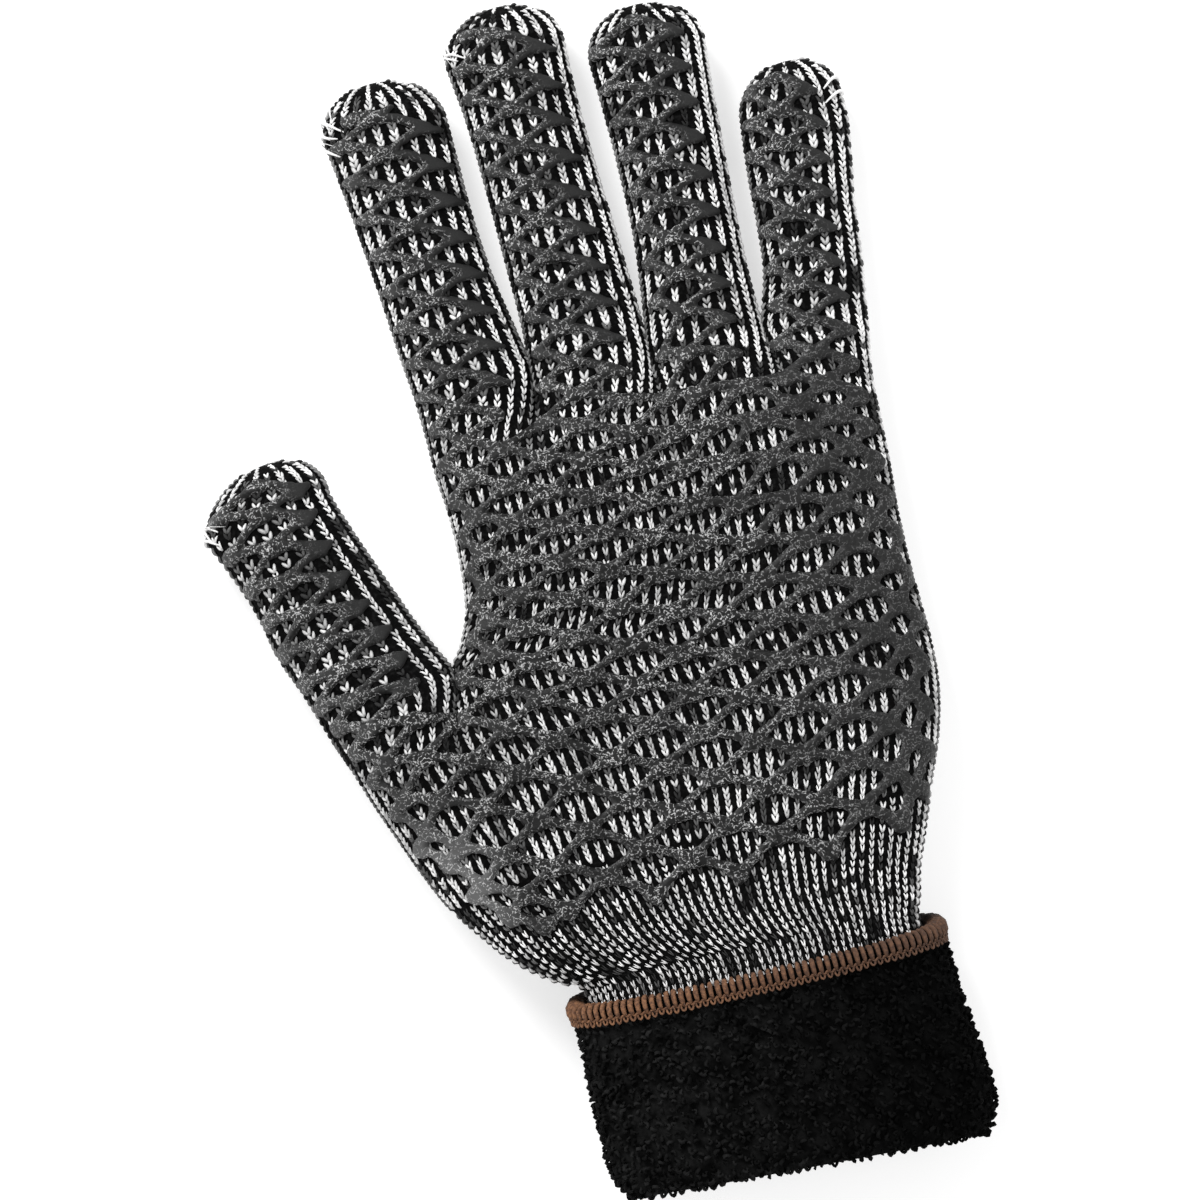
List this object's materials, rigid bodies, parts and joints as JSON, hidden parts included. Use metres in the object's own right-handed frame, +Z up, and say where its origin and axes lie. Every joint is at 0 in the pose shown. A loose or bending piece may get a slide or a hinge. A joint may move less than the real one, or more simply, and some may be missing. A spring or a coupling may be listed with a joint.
{
  "type": "terry cloth glove",
  "caption": "Left-hand knitted work glove lined with terry loops, with a rubber grip net on the palm side and the terry cuff turned back to a brown overlocked edge.",
  "frame": {"origin": "on the floor under the middle of the palm: the glove lies on its back", "axes": "+Y from the cuff to the fingertips, +Z up out of the palm, +X to the little finger side"},
  "size_m": [0.1583, 0.2637, 0.0335],
  "materials": {
    "marled_knit": "black and white marled knit, matte",
    "grip_rubber": "matte dark grey, printed on the knit",
    "black_terry": "black looped pile",
    "brown_thread": "brown overlock thread"
  },
  "bodies": {
    "root": {"palm_shell": "marled_knit", "thumb": "marled_knit", "index_finger": "marled_knit", "middle_finger": "marled_knit", "ring_finger": "marled_knit", "little_finger": "marled_knit", "grip_net": "grip_rubber", "terry_cuff": "black_terry", "overlock_edge": "brown_thread"}
  },
  "joints": []
}
